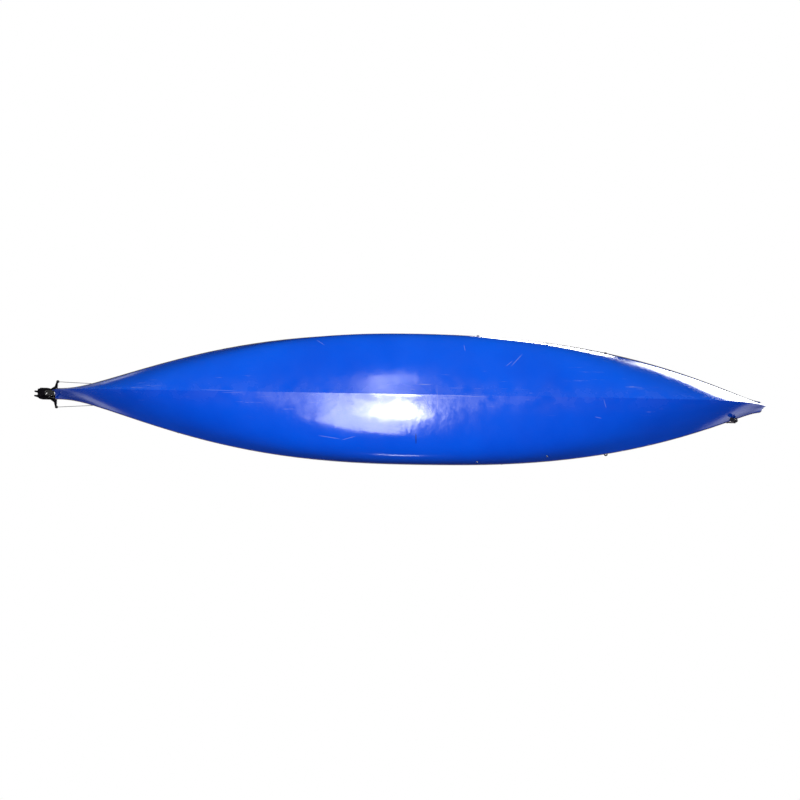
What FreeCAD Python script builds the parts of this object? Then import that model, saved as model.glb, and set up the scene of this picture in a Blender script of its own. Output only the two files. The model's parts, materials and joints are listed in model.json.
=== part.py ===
"""Light touring kayak with a foot-steered, flip-up stern rudder.

Frame: +X towards the bow, +Y to port, +Z up, with the origin at keel level
under the middle of the overall length. Units are millimetres.
"""

import math
import os
from FreeCAD import Placement, Rotation, Vector
import Part

# ---- driving dimensions -------------------------------------------------
HULL_LENGTH = 3886.0     # bow tip to stern post
BEAM = 708.0             # greatest width, over the seam band
RUDDER_OVERHANG = 126.0  # stern post to the aft end of the rudder head
WALL = 4.0               # hull and deck shell thickness
BAND = 2.5               # thickness of the band over the hull's seam
SEAM_GAP = 1.0           # glue line between hull and deck
SET_IN = 0.6             # glue line around a part that is set into the deck
RUN = 0.05               # radial clearance of a pin that turns in its bore

OVERALL = HULL_LENGTH + RUDDER_OVERHANG
X_BOW = OVERALL / 2
X_STERN = X_BOW - HULL_LENGTH
SHELL_FROM, SHELL_TO = X_STERN + BAND, X_BOW - BAND
HALF_BEAM = BEAM / 2 - BAND

X_AXIS, Y_AXIS, Z_AXIS = Vector(1, 0, 0), Vector(0, 1, 0), Vector(0, 0, 1)
parts = {}


# ---- geometry helpers ---------------------------------------------------
def through(points):
    """Smooth curve through (place, value) points that never overshoots them."""
    xs = [p[0] for p in points]
    ys = [p[1] for p in points]
    steps = [(ys[i + 1] - ys[i]) / (xs[i + 1] - xs[i]) for i in range(len(xs) - 1)]
    slopes = [steps[0]]
    for before, after in zip(steps, steps[1:]):
        turns = before * after <= 0
        slopes.append(0.0 if turns else 2 * before * after / (before + after))
    slopes.append(steps[-1])

    def value(x):
        x = min(max(x, xs[0]), xs[-1])
        i = max(k for k in range(len(xs) - 1) if xs[k] <= x)
        h = xs[i + 1] - xs[i]
        u = (x - xs[i]) / h
        start = ys[i] * (1 + 2 * u) + slopes[i] * h * u
        end = ys[i + 1] * (3 - 2 * u) - slopes[i + 1] * h * (1 - u)
        return start * (1 - u) ** 2 + end * u ** 2

    return value


def fused(first, *others):
    """One solid from several that touch or overlap."""
    return first.multiFuse(list(others)).removeSplitter()


def mirrored(shape):
    """The same shape on the other side of the centreline."""
    return shape.mirror(Vector(0, 0, 0), Y_AXIS)


def pair(shape):
    """A port shape and its starboard twin, as separate solids."""
    return Part.makeCompound([shape, mirrored(shape)])


def box(x, y, z):
    """A box from its (low, high) spans."""
    return Part.makeBox(x[1] - x[0], y[1] - y[0], z[1] - z[0], Vector(x[0], y[0], z[0]))


def rod(radius, start, end):
    start, end = Vector(*start), Vector(*end)
    return Part.makeCylinder(radius, (end - start).Length, start, end - start)


def plate_y(outline, low, high):
    """A plate drawn as (x, z) points that spans y from low to high."""
    points = [Vector(x, low, z) for x, z in outline]
    face = Part.Face(Part.makePolygon(points + points[:1]))
    return face.extrude(Vector(0, high - low, 0))


def plate_x(outline, low, high):
    """A plate drawn as (y, z) points that spans x from low to high."""
    points = [Vector(low, y, z) for y, z in outline]
    face = Part.Face(Part.makePolygon(points + points[:1]))
    return face.extrude(Vector(high - low, 0, 0))


def plate_z(outline, low, high):
    """A plate drawn as (x, y) points that spans z from low to high."""
    points = [Vector(x, y, low) for x, y in outline]
    face = Part.Face(Part.makePolygon(points + points[:1]))
    return face.extrude(Vector(0, 0, high - low))


def prism(wire, low, high):
    """The space inside a flat closed wire drawn at z = 0, from low to high."""
    face = Part.Face(wire)
    face.translate(Vector(0, 0, low))
    return face.extrude(Vector(0, 0, high - low))


def ring(outer, inner, low, high):
    return prism(outer, low, high).cut(prism(inner, low - 1, high + 1))


def oval(half_length, half_width):
    ellipse = Part.Ellipse(Vector(0, 0, 0), half_length, half_width)
    return Part.Wire([ellipse.toShape()])


def rounded(shape, radius, wanted):
    """Fillets the edges that the test picks, or keeps the shape if they refuse."""
    edges = [e for e in shape.Edges if wanted(e)]
    try:
        smooth = shape.makeFillet(radius, edges)
    except Part.OCCError:
        return shape
    return smooth if smooth.isValid() else shape


def along(axis):
    """Picks the straight edges that run along an axis."""
    def wanted(edge):
        if edge.Curve.TypeId != "Part::GeomLine":
            return False
        return abs(abs(edge.Curve.Direction.dot(axis)) - 1) < 1e-6
    return wanted


def level(z):
    """Picks the edges that lie in the plane at height z."""
    def wanted(edge):
        return abs(edge.BoundBox.ZMin - z) < 1e-3 and abs(edge.BoundBox.ZMax - z) < 1e-3
    return wanted


def tube_path(points):
    """Straight runs joined by tangent arcs, each as large as its runs allow."""
    points = [Vector(*p) for p in points]
    edges, last = [], points[0]
    for before, here, after in zip(points, points[1:], points[2:]):
        back, on = before - here, after - here
        half_turn = (math.pi - back.getAngle(on)) / 2
        reach = 0.45 * min(back.Length, on.Length)
        back.normalize()
        on.normalize()
        inwards = back + on
        inwards.normalize()
        radius = reach / math.tan(half_turn)
        middle = here + inwards * (radius / math.cos(half_turn) - radius)
        edges.append(Part.LineSegment(last, here + back * reach).toShape())
        edges.append(Part.Arc(here + back * reach, middle, here + on * reach).toShape())
        last = here + on * reach
    edges.append(Part.LineSegment(last, points[-1]).toShape())
    return Part.Wire(edges)


def tube(points, radius, bore):
    """A round tube along points, solid if it has no bore."""
    path = tube_path(points)
    start, heading = Vector(*points[0]), Vector(*points[1]) - Vector(*points[0])

    def sweep(r):
        return path.makePipeShell([Part.Wire(Part.makeCircle(r, start, heading))], True, False)

    return sweep(radius).cut(sweep(bore)) if bore else sweep(radius)


# ---- hull lines ---------------------------------------------------------
# A place along the hull runs from 0 at the stern face to 1 at the bow tip.
WIDEST = 0.515
TIP = 0.08             # half breadth of the two end posts, as a share
SHEER_LOWEST = 0.45


def half_breadth(t):
    """Half breadth at the sheer, as a share of the half beam."""
    aft = t < WIDEST
    s = (WIDEST - t) / WIDEST if aft else (t - WIDEST) / (1 - WIDEST)
    power, draw = (2.6, 1.35) if aft else (2.42, 1.0)
    return math.hypot(TIP, max(1 - s ** power, 0) ** draw) / math.hypot(TIP, 1)


def sheer_height(t):
    if t < SHEER_LOWEST:
        return 268 + 32 * ((SHEER_LOWEST - t) / SHEER_LOWEST) ** 2
    return 268 + 106 * ((t - SHEER_LOWEST) / (1 - SHEER_LOWEST)) ** 2


def keel_height(t):
    """Flat amidships, with a little rocker and an upswept stem and stern."""
    rocker = 11 * (max(0.34 - t, 0) / 0.34) ** 2 + 12 * (max(t - 0.66, 0) / 0.34) ** 2
    stern = 166 * (max(0.12 - t, 0) / 0.12) ** 5
    stem = 292 * (max(t - 0.80, 0) / 0.20) ** 4
    return rocker + stern + stem


crown_height = through([
    (0, 18), (0.12, 26), (0.36, 50), (0.46, 60), (0.63, 98), (0.76, 88),
    (0.92, 42), (1, 20),
])
sharpness = through([(0, 1), (0.10, 0.88), (0.28, 0.28), (0.48, 0), (0.66, 0.12),
                     (0.86, 0.8), (1, 1)])
peakedness = through([(0, 0.4), (0.38, 0), (0.62, 0.25), (0.85, 0.9), (1, 1)])

# Section shapes, as shares of the half breadth and of the height. The full
# hull has a shallow V bottom and a soft chine, and the sharp one is a V.
HULL_FULL = [(0, 0), (0.28, 0.026), (0.56, 0.070), (0.79, 0.165),
             (0.925, 0.36), (0.98, 0.66), (1, 1)]
HULL_SHARP = [(0, 0), (0.11, 0.115), (0.24, 0.26), (0.41, 0.44),
              (0.61, 0.63), (0.81, 0.82), (1, 1)]
DECK_FULL = [(1, 0), (0.988, 0.26), (0.93, 0.52), (0.80, 0.74),
             (0.60, 0.89), (0.32, 0.972), (0, 1)]
DECK_SHARP = [(1, 0), (0.965, 0.20), (0.88, 0.37), (0.71, 0.55),
              (0.49, 0.72), (0.25, 0.87), (0, 1)]
# Stations of the lofts, closer together where the ends turn up.
STATIONS = [0, 0.012, 0.03, 0.06, 0.12, 0.20, 0.30, 0.41, 0.52, 0.63, 0.73,
            0.81, 0.88, 0.93, 0.96, 0.982, 1]
HOLLOW = (0.022, 0.965)  # the ends beyond are solid


def place(x):
    return (x - SHELL_FROM) / (SHELL_TO - SHELL_FROM)


def station_x(t):
    return SHELL_FROM + t * (SHELL_TO - SHELL_FROM)


def mixed(full, sharp, share):
    return [
        (a[0] + (b[0] - a[0]) * share, a[1] + (b[1] - a[1]) * share)
        for a, b in zip(full, sharp)
    ]


def hull_half(t, depth=0.0):
    """Port half section, keel to sheer, as (y, z) points at a depth in the shell."""
    b, low, high = HALF_BEAM * half_breadth(t), keel_height(t), sheer_height(t)
    shape = mixed(HULL_FULL, HULL_SHARP, sharpness(t))
    keel = (shape[1][0] * b, shape[1][1] * (high - low))
    low += depth * math.hypot(*keel) / keel[0]
    return [((b - depth) * u, low + (high - low) * v) for u, v in shape]


def deck_half(t, depth=0.0):
    """Port half section, sheer to ridge, as (y, z) points at a depth in the shell."""
    b, rise = HALF_BEAM * half_breadth(t), crown_height(t)
    low = sheer_height(t) + SEAM_GAP
    shape = mixed(DECK_FULL, DECK_SHARP, peakedness(t))
    return [((b - depth) * u, low + (rise - depth) * v) for u, v in shape]


def ridge(x):
    """Height of the deck's outer face on the centreline."""
    return deck_half(place(x))[-1][1]


def deck_top(x, y):
    """Height of the deck's outer face."""
    return through([(-py, pz) for py, pz in deck_half(place(x))])(-abs(y))


def hull_side(x, z, depth=0.0):
    """Half breadth of the hull at height z, at a depth in the shell."""
    return through([(pz, py) for py, pz in hull_half(place(x), depth)])(z)


def spline(points, x):
    """A curve through (y, z) points, with the same knots in every section."""
    curve = Part.BSplineCurve()
    count = len(points) - 1
    curve.interpolate(
        Points=[Vector(x, y, z) for y, z in points],
        Parameters=[i / count for i in range(count + 1)],
    )
    return curve.toShape()


def lines(points, x):
    points = [Vector(x, y, z) for y, z in points]
    return [Part.LineSegment(a, b).toShape() for a, b in zip(points, points[1:])]


def section(half, x, lift=0.0):
    """A closed section: a spline on each side, closed past its open edge by lift."""
    y, z = half[-1]
    if lift:
        half, z = half[:-1] + [(y, z + lift / 4)], z + lift / 4
    starboard = spline([(-py, pz) for py, pz in reversed(half)], x)
    close = [(y, z), (y, z + lift), (-y, z + lift), (-y, z)] if lift else [(y, z), (-y, z)]
    return Part.Wire([starboard, spline(half, x)] + lines(close, x))


def stations(start, end):
    return [start] + [t for t in STATIONS if start + 0.004 < t < end - 0.004] + [end]


def loft(half, start, end, depth=0.0, lift=0.0):
    """A solid through the sections between two places."""
    wires = [section(half(t, depth), station_x(t), lift) for t in stations(start, end)]
    return Part.makeLoft(wires, True, False)


def deck_from_ridge(t, depth=0.0):
    return list(reversed(deck_half(t, depth)))


def sheer_strip(half_height, outwards):
    """A solid strip that follows the sheer and stands outwards of the shells all round."""
    wires = []
    for t in STATIONS:
        x = station_x(t) + {0: -outwards, 1: outwards}.get(t, 0)
        y, z = HALF_BEAM * half_breadth(t) + outwards, sheer_height(t) + SEAM_GAP / 2
        low, high = z - half_height, z + half_height
        corners = [(-y, low), (y, low), (y, high), (-y, high), (-y, low)]
        wires.append(Part.Wire(lines(corners, x)))
    return Part.makeLoft(wires, True, False)


BOW_RADIUS = 15.0    # rounds the two upright corners of the bow


def bow_rounded(shape, outwards=0.0):
    tip = SHELL_TO + outwards

    def upright(edge):
        span = edge.BoundBox
        return abs(span.XMin - tip) < 0.01 and abs(span.XMax - tip) < 0.01 and span.ZLength > 5

    return rounded(shape, BOW_RADIUS + outwards, upright)


def on_deck(shape, x, y, lift=0.0):
    """Moves a shape from its own frame to the deck, its Z along the deck's normal."""
    step = 4.0
    rise_x = (deck_top(x + step, y) - deck_top(x - step, y)) / (2 * step)
    rise_y = (deck_top(x, y + step) - deck_top(x, y - step)) / (2 * step)
    fore, side = Vector(1, 0, rise_x), Vector(0, 1, rise_y)
    normal = fore.cross(side)
    normal.normalize()
    turn = Rotation(fore, side, normal, "ZXY")
    moved = shape.copy()
    moved.Placement = Placement(Vector(x, y, deck_top(x, y)) + normal * lift, turn)
    return moved


# ---- cockpit ------------------------------------------------------------
COCKPIT_X = -60.0            # middle of the cockpit opening
COCKPIT_LENGTH = 820.0       # inside the coaming
REAR_RADIUS, FRONT_RADIUS, SIDE_RADIUS = 214.0, 128.0, 1150.0
COAMING_WALL = 5.0
COAMING_DEPTH = 70.0         # from the lip down past the deck
LIP_REACH, LIP_THICK, LIP_DROP = 24.0, 4.0, 7.0
REAR_X, FRONT_X = COCKPIT_X - 440, COCKPIT_X + 440
REAR_Z, FRONT_Z = ridge(REAR_X) + 12, ridge(FRONT_X) + 12
COCKPIT_SLOPE = math.degrees(math.atan2(FRONT_Z - REAR_Z, FRONT_X - REAR_X))
COCKPIT = Placement(
    Vector(COCKPIT_X, 0, (REAR_Z + FRONT_Z) / 2), Rotation(Y_AXIS, -COCKPIT_SLOPE)
)


def egg(length, rear, front, side):
    """A closed outline of four tangent arcs, wide aft, with its middle at the origin."""
    back, fore = Vector(rear - length / 2, 0, 0), Vector(length / 2 - front, 0, 0)
    apart = (fore - back).Length
    to_back, to_fore = side - rear, side - front
    along_x = (to_back ** 2 - to_fore ** 2 + apart ** 2) / (2 * apart)
    centre = back + Vector(along_x, -math.sqrt(to_back ** 2 - along_x ** 2), 0)
    aft = centre + (back - centre) * (side / to_back)
    forward = centre + (fore - centre) * (side / to_fore)
    middle = (aft + forward) * 0.5 - centre
    middle = centre + middle * (side / middle.Length)

    def other(point):
        return Vector(point.x, -point.y, 0)

    arcs = [
        (other(forward), Vector(length / 2, 0, 0), forward),
        (forward, middle, aft),
        (aft, Vector(-length / 2, 0, 0), other(aft)),
        (other(aft), other(middle), other(forward)),
    ]
    return Part.Wire([Part.Arc(*arc).toShape() for arc in arcs])


def at_cockpit(shape):
    moved = shape.copy()
    moved.Placement = COCKPIT
    return moved


opening = egg(COCKPIT_LENGTH, REAR_RADIUS, FRONT_RADIUS, SIDE_RADIUS)
wall_line = opening.makeOffset2D(COAMING_WALL)
lip_line = opening.makeOffset2D(COAMING_WALL + LIP_REACH)


def coaming():
    """Wall through the deck, with a turned-down lip for a spray skirt's cord."""
    wall = ring(wall_line, opening, -COAMING_DEPTH, 0)
    lip = ring(lip_line, opening, -0.01, LIP_THICK)
    edge = ring(lip_line, lip_line.makeOffset2D(-3), -LIP_DROP, 0)
    body = fused(wall, lip, edge)
    body = rounded(body, 2.0, level(LIP_THICK))
    return at_cockpit(body)


def cockpit_hole():
    hole = wall_line.makeOffset2D(SET_IN)
    return at_cockpit(prism(hole, -160, 60))


BRACE_DROP = 30.0    # from the lip down to a thigh brace


def thigh_brace():
    """Port brace: a plate that reaches in over the thigh, with a flange on the wall."""
    fit = prism(opening.makeOffset2D(-SET_IN), -90, 0)
    inside = prism(opening.makeOffset2D(-SET_IN - 4), -95, 5)
    reach = [(60, 250), (78, 170), (120, 128), (205, 112), (262, 124), (280, 160),
             (292, 250)]
    plate = plate_z(reach, -BRACE_DROP - 5, -BRACE_DROP)
    plate = rounded(plate, 14, along(Z_AXIS))
    flange = box((66, 286), (60, 260), (-BRACE_DROP - 26, -BRACE_DROP)).cut(inside)
    return at_cockpit(fused(plate, flange).common(fit))


def thigh_pad():
    """Foam under the port thigh brace."""
    outline = [(92, 176), (128, 140), (202, 124), (252, 134), (268, 162), (210, 172)]
    pad = plate_z(outline, -BRACE_DROP - 17.5, -BRACE_DROP - 5.5)
    pad = rounded(pad, 8, along(Z_AXIS))
    pad = pad.common(prism(opening.makeOffset2D(-SET_IN - 6), -90, 0))
    return at_cockpit(rounded(pad, 4, level(-BRACE_DROP - 17.5)))


# ---- hatches ------------------------------------------------------------
RIM_WALL, RIM_LIP = 4.0, 7.0
LID_GAP = 0.6
LID_THICK = 3.0
BOW_HATCH = {"x": 1215.0, "a": 148.0, "b": 98.0, "stand": 15.0}
STERN_HATCH = {"x": -905.0, "a": 218.0, "b": 132.0, "stand": 13.0}


def at_hatch(shape, hatch):
    """Moves a shape to a hatch, its plane along the deck's ridge line."""
    x, a = hatch["x"], hatch["a"]
    slope = math.degrees(math.atan2(ridge(x + a) - ridge(x - a), 2 * a))
    top = max(ridge(x), (ridge(x + a) + ridge(x - a)) / 2) + hatch["stand"]
    moved = shape.copy()
    moved.Placement = Placement(Vector(x, 0, top), Rotation(Y_AXIS, -slope))
    return moved


def hatch_rim(hatch):
    a, b = hatch["a"], hatch["b"]
    inside = oval(a - RIM_WALL, b - RIM_WALL)
    wall = ring(oval(a, b), inside, -62, 0)
    lip = ring(oval(a + RIM_LIP, b + RIM_LIP), inside, -4, 0)
    return at_hatch(fused(wall, lip), hatch)


def hatch_hole(hatch):
    return at_hatch(prism(oval(hatch["a"] + SET_IN, hatch["b"] + SET_IN), -120, 60), hatch)


def hatch_cover(hatch):
    """Rubber lid: a domed top, a skirt around the rim's lip, a rib and a pull tab."""
    a, b = hatch["a"] + RIM_LIP + LID_GAP, hatch["b"] + RIM_LIP + LID_GAP
    top = LID_GAP + LID_THICK
    cap = prism(oval(a + 4, b + 4), -9, top)
    cap = rounded(cap, 3.2, level(top))
    cap = cap.cut(prism(oval(a, b), -10, LID_GAP))
    crown = prism(oval(a - 16, b - 16), top - 0.01, top + 5)
    crown = rounded(crown, 4.5, level(top + 5))
    dish = prism(oval(a - 38, b - 38), top + 2, top + 6)
    tab = plate_z([(a, -16), (a + 22, -11), (a + 22, 11), (a, 16)], -3, 1)
    tab = rounded(tab, 6, along(Z_AXIS)).cut(rod(4, (a + 14, 0, -5), (a + 14, 0, 3)))
    return at_hatch(fused(cap, crown, tab).cut(dish).cut(prism(oval(a, b), -10, LID_GAP)), hatch)


# ---- bulkheads ----------------------------------------------------------
BULKHEAD_THICK = 14.0
FRONT_BULKHEAD_X, REAR_BULKHEAD_X = 905.0, -560.0


def bulkhead(x):
    """A foam wall that fills the boat's section, with its edge clear of the shells."""
    depth = WALL + 4.5
    t = place(x)
    hull, deck = hull_half(t, depth), deck_half(t, depth)
    port = [spline(hull, x), spline(deck, x)] + lines([hull[-1], deck[0]], x)
    starboard = [edge.mirror(Vector(0, 0, 0), Y_AXIS) for edge in port]
    wire = Part.Wire(Part.__sortEdges__(port + starboard))
    wall = Part.Face(wire).extrude(Vector(BULKHEAD_THICK, 0, 0))
    if x > RAIL_X[0]:
        return wall
    return wall.cut(pair(housing_clearance()))


# ---- seat and backrest --------------------------------------------------
SEAT_X = (-395.0, -25.0)
SEAT_RIM_Z, SEAT_BASE_Z = 104.0, 27.0
HANGER_Y = (195.6, 199.6)
SEAT_BOLT_X = (-300.0, -90.0)
BACKREST_X, BACKREST_Z = -372.0, 132.0   # its hinge line
BACKREST_PIN = 5.0


def tray(grow, low, high):
    """A rounded tray shape that widens upwards."""
    wires = []
    for share in (0, 0.35, 1):
        z = low + (high - low) * share
        half_width = 150 + 44 * math.sqrt(share) - grow
        aft, fore = SEAT_X[0] + 34 * (1 - share) + grow, SEAT_X[1] - 50 * (1 - share) - grow
        corner = 60 - grow
        outline = plate_z(
            [(aft, -half_width), (fore, -half_width), (fore, half_width), (aft, half_width)],
            z, z + 1,
        )
        outline = outline.makeFillet(corner, [e for e in outline.Edges if along(Z_AXIS)(e)])
        face = min(outline.Faces, key=lambda f: f.CenterOfMass.z)
        wires.append(face.OuterWire)
    return Part.makeLoft(wires, True, False)


def seat_pan():
    pan = tray(0, SEAT_BASE_Z, SEAT_RIM_Z).cut(tray(4, SEAT_BASE_Z + 4, SEAT_RIM_Z + 0.5))
    for x in SEAT_BOLT_X:
        pan = pan.cut(rod(3.05, (x, -210, 94), (x, 210, 94)))
    return pan


def seat_cushion():
    """A pad that fills the bottom of the seat pan."""
    pad = box((-352, -98), (-132, 132), (32.5, 58))
    pad = rounded(pad, 45, along(Z_AXIS))
    return rounded(pad, 9, level(58))


def seat_hanger():
    """Port plate from the coaming's wall down to the seat, with a window."""
    outline = [(-330, 74), (-60, 74), (-66, 175), (-60, 292), (-330, 282), (-318, 175)]
    plate = plate_y(outline, *HANGER_Y)
    window = plate_y([(-275, 118), (-118, 118), (-128, 240), (-262, 240)], 190, 205)
    plate = plate.cut(rounded(window, 18, along(Y_AXIS)))
    for x, z in hanger_bolts():
        plate = plate.cut(rod(3.05, (x, 190, z), (x, 205, z)))
    lug = rod(13, (BACKREST_X, HANGER_Y[0], BACKREST_Z), (BACKREST_X, HANGER_Y[1], BACKREST_Z))
    arm = plate_y([(BACKREST_X, 120), (-322, 100), (-318, 160), (BACKREST_X, 144)], *HANGER_Y)
    hole = rod(BACKREST_PIN + RUN, (BACKREST_X, 190, BACKREST_Z), (BACKREST_X, 205, BACKREST_Z))
    return fused(plate, lug, arm).cut(hole)


def hanger_bolts():
    """(x, z) of the bolts: two into the seat pan and two into the coaming."""
    return [(x, 94) for x in SEAT_BOLT_X] + [(x, 272) for x in SEAT_BOLT_X]


def seat_bolts():
    """Port bolts: the lower pair heads outside the hanger, the upper pair inside it."""
    bolts = []
    outside = HANGER_Y[1] + 0.02
    for x, z in hanger_bolts():
        if z < 150:
            shank, head = rod(3, (x, 188, z), (x, 202.6, z)), rod(6, (x, outside, z), (x, 202.6, z))
            bolts.append(fused(shank, head))
        else:
            shank, head = rod(3, (x, 192.5, z), (x, 207, z)), rod(6, (x, 192.5, z), (x, 195, z))
            bolts.append(fused(shank, head, rod(7, (x, outside, z), (x, 205.4, z))))
    return bolts


BACKREST_ARC = 420.0


def back_arc(inner, outer, low, high, half_width):
    """A curved slab that wraps forward at its sides, from its distances to the arc's axis."""
    axis_x = BACKREST_X + BACKREST_ARC
    disc = [Part.makeCylinder(r, high - low, Vector(axis_x, 0, low), Z_AXIS) for r in (outer, inner)]
    side = box((axis_x - outer - 1, axis_x - 150), (-half_width, half_width), (low, high))
    return disc[0].cut(disc[1]).common(side)


def backrest_shell():
    shell = back_arc(BACKREST_ARC - 2, BACKREST_ARC + 3, 118, 306, 176)
    shell = rounded(shell, 30, lambda e: along(X_AXIS)(e) or e.Length < 7)
    arms = []
    for side in (-1, 1):
        y = sorted([side * 166, side * 190])
        hub_y = sorted([side * 176, side * 195])
        arms.append(box((BACKREST_X - 6, BACKREST_X + 36), y, (124, 140)))
        arms.append(rod(10, (BACKREST_X, hub_y[0], BACKREST_Z), (BACKREST_X, hub_y[1], BACKREST_Z)))
    body = fused(shell, *arms)
    pins = rod(BACKREST_PIN + 0.02, (BACKREST_X, -200, BACKREST_Z), (BACKREST_X, 200, BACKREST_Z))
    return body.cut(pins)


def backrest_pins():
    y = (178, HANGER_Y[1] + 3)
    pin = rod(BACKREST_PIN, (BACKREST_X, y[0], BACKREST_Z), (BACKREST_X, y[1], BACKREST_Z))
    head = rod(8, (BACKREST_X, HANGER_Y[1] + 0.4, BACKREST_Z), (BACKREST_X, y[1], BACKREST_Z))
    return pair(fused(pin, head))


def backrest_pad():
    pad = back_arc(BACKREST_ARC - 26, BACKREST_ARC - 2.4, 150, 296, 150)
    return rounded(pad, 10, lambda e: e.Length > 60)


# ---- foot braces --------------------------------------------------------
RAIL_X = (372.0, 812.0)
RAIL_Z = 148.0
RAIL_OFF_HULL = 14.0
rail_aft_y = hull_side(RAIL_X[0], RAIL_Z, WALL) - RAIL_OFF_HULL
rail_fore_y = hull_side(RAIL_X[1], RAIL_Z, WALL) - RAIL_OFF_HULL
RAIL_LENGTH = math.hypot(RAIL_X[1] - RAIL_X[0], rail_aft_y - rail_fore_y)
RAIL_TURN = math.degrees(math.atan2(rail_fore_y - rail_aft_y, RAIL_X[1] - RAIL_X[0]))
# Local frame of the port rail: X along it, Y out to the hull, 0 at its aft end.
RAIL = Placement(Vector(RAIL_X[0], rail_aft_y, RAIL_Z), Rotation(Z_AXIS, RAIL_TURN))
RAIL_BOLTS = (36.0, RAIL_LENGTH - 36.0)
BOLT_Z = 5.0
SLIDER = (88.0, 352.0)
PEDAL_AT = 220.0
WIRE_Y, WIRE_Z = -7.0, -10.0
WIRE_START, HOUSING_LEAD = -42.0, -150.0


def at_rail(shape):
    moved = shape.copy()
    moved.Placement = RAIL
    return moved


def rail_bolt_holes():
    return [rod(3.1, (x, -20, BOLT_Z), (x, 60, BOLT_Z)) for x in RAIL_BOLTS]


def foot_rail():
    """An open channel, its back against the hull."""
    channel = box((0, RAIL_LENGTH), (-14, 0), (-18, 18))
    channel = channel.cut(box((-1, RAIL_LENGTH + 1), (-15, -2.5), (-15.4, 15.4)))
    stops = [box((x - 9, x + 9), (-9, -2.4), (-4, 15.5)) for x in RAIL_BOLTS]
    channel = fused(channel, *stops).cut(Part.makeCompound(rail_bolt_holes()))
    return at_rail(channel)


def foot_slider():
    """The bar that slides in the rail and pulls the steering wire, with its notches."""
    bar = box(SLIDER, (-12.4, -2.9), (-15, 15))
    for i in range(12):
        x = SLIDER[0] + 22 + 20 * i
        bar = bar.cut(box((x - 3, x + 3), (-20, -10.4), (8, 16)))
    wire = rod(1.0, (WIRE_START, WIRE_Y, WIRE_Z), (SLIDER[0] + 1, WIRE_Y, WIRE_Z))
    return at_rail(fused(bar, wire))


def foot_pedal():
    """A ribbed foot plate on a carriage that clips over the slider."""
    x = PEDAL_AT
    carriage = box((x - 28, x + 28), (-24, -12.8), (-13, 13))
    plate = box((x - 4, x + 2), (-100, -20), (-52, 78))
    plate = rounded(plate, 22, along(X_AXIS))
    ribs = [box((x - 7, x - 3.9), (-92, -28), (z - 2, z + 2)) for z in (-36, -18, 0, 18, 36, 54)]
    gusset = plate_z([(x + 1, -23), (x + 28, -23), (x + 1, -88)], -5, 5)
    return at_rail(fused(carriage, plate, gusset, *ribs))


def rail_bolts():
    """Port bolts, from the rail's channel out through the hull's side."""
    bolts = []
    for x in RAIL_BOLTS:
        here = RAIL.multVec(Vector(x, 0, BOLT_Z))
        reach = hull_side(here.x - 7, here.z + 7) - here.y + 1
        shank = rod(3, (x, -12.4, BOLT_Z), (x, reach, BOLT_Z))
        nut = rod(5.5, (x, -12.4, BOLT_Z), (x, -9.1, BOLT_Z))
        head = rod(7, (x, reach, BOLT_Z), (x, reach + 2.5, BOLT_Z))
        head = rounded(head, 1.6, lambda e: e.BoundBox.YMin > reach + 2.4)
        bolts.append(at_rail(fused(shank, nut, head)))
    return bolts


# ---- rudder -------------------------------------------------------------
YAW_X = X_STERN - 45.0
BLADE_X, BLADE_Z = X_STERN - 98.0, 362.0    # the blade's hinge line
HEAD_Z = (287.0, 328.0)
JAW_Z = (221.0, 235.0)
EARS = ((236.0, 240.0), (281.0, 285.0))
PIN_RADIUS = 5.0
CHEEK_Y = (8.2, 16.0)
CHEEK_RADIUS = BLADE_X - X_STERN + RUDDER_OVERHANG
YOKE_Z = (328.1, 333.1)
YOKE_TIP = (X_STERN - 6.0, 70.0)
CABLE_Z = 336.5
CABLE_RADIUS = 1.5
FAIRLEAD_IN = (-1664.0, 59.0, 310.0)
FAIRLEAD_OUT = (-1606.0, 54.5, 283.0)


# The stern post is raked, and its foot is further forwards than its top.
POST_RAKE, POST_TOP = 20.0, 292.0
PLATE_THICK, PLATE_GAP = 3.0, 0.1
BRACKET_BOLT_Z = (-69.0, -33.0)


def at_post(shape):
    """Moves a shape to the post's face: X goes in at right angles and Z up along it."""
    moved = shape.copy()
    moved.Placement = Placement(Vector(SHELL_FROM, 0, POST_TOP), Rotation(Y_AXIS, -POST_RAKE))
    return moved


def stern_bracket():
    """A stainless plate on the stern post, with two ears for the rudder pin."""
    outer = -PLATE_GAP - PLATE_THICK
    plate = rounded(box((outer, -PLATE_GAP), (-14, 14), (-79, -3)), 5, along(X_AXIS))
    body = [at_post(plate)]
    beyond = at_post(box((outer + 1, 200), (-30, 30), (-200, 60)))
    for low, high in EARS:
        arm = box((YAW_X, X_STERN + 60), (-13, 13), (low, high)).cut(beyond)
        body += [arm, rod(13, (YAW_X, 0, low), (YAW_X, 0, high))]
    bracket = fused(*body).cut(rod(PIN_RADIUS + RUN, (YAW_X, 0, 200), (YAW_X, 0, 300)))
    holes = [at_post(rod(3.05, (outer - 2, 0, z), (2, 0, z))) for z in BRACKET_BOLT_Z]
    return bracket.cut(Part.makeCompound(holes))


def bracket_bolts():
    bolts = []
    head_at = -PLATE_GAP - PLATE_THICK - 0.1
    for z in BRACKET_BOLT_Z:
        shank = rod(3, (head_at - 3.3, 0, z), (30, 0, z))
        head = rod(6, (head_at - 3.3, 0, z), (head_at, 0, z))
        bolts.append(at_post(fused(shank, head)))
    return Part.makeCompound(bolts)


def rudder_pin():
    """The vertical pin that the rudder head turns on."""
    return rod(PIN_RADIUS, (YAW_X, 0, JAW_Z[0] + 4.1), (YAW_X, 0, HEAD_Z[1] - 0.2))


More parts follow.
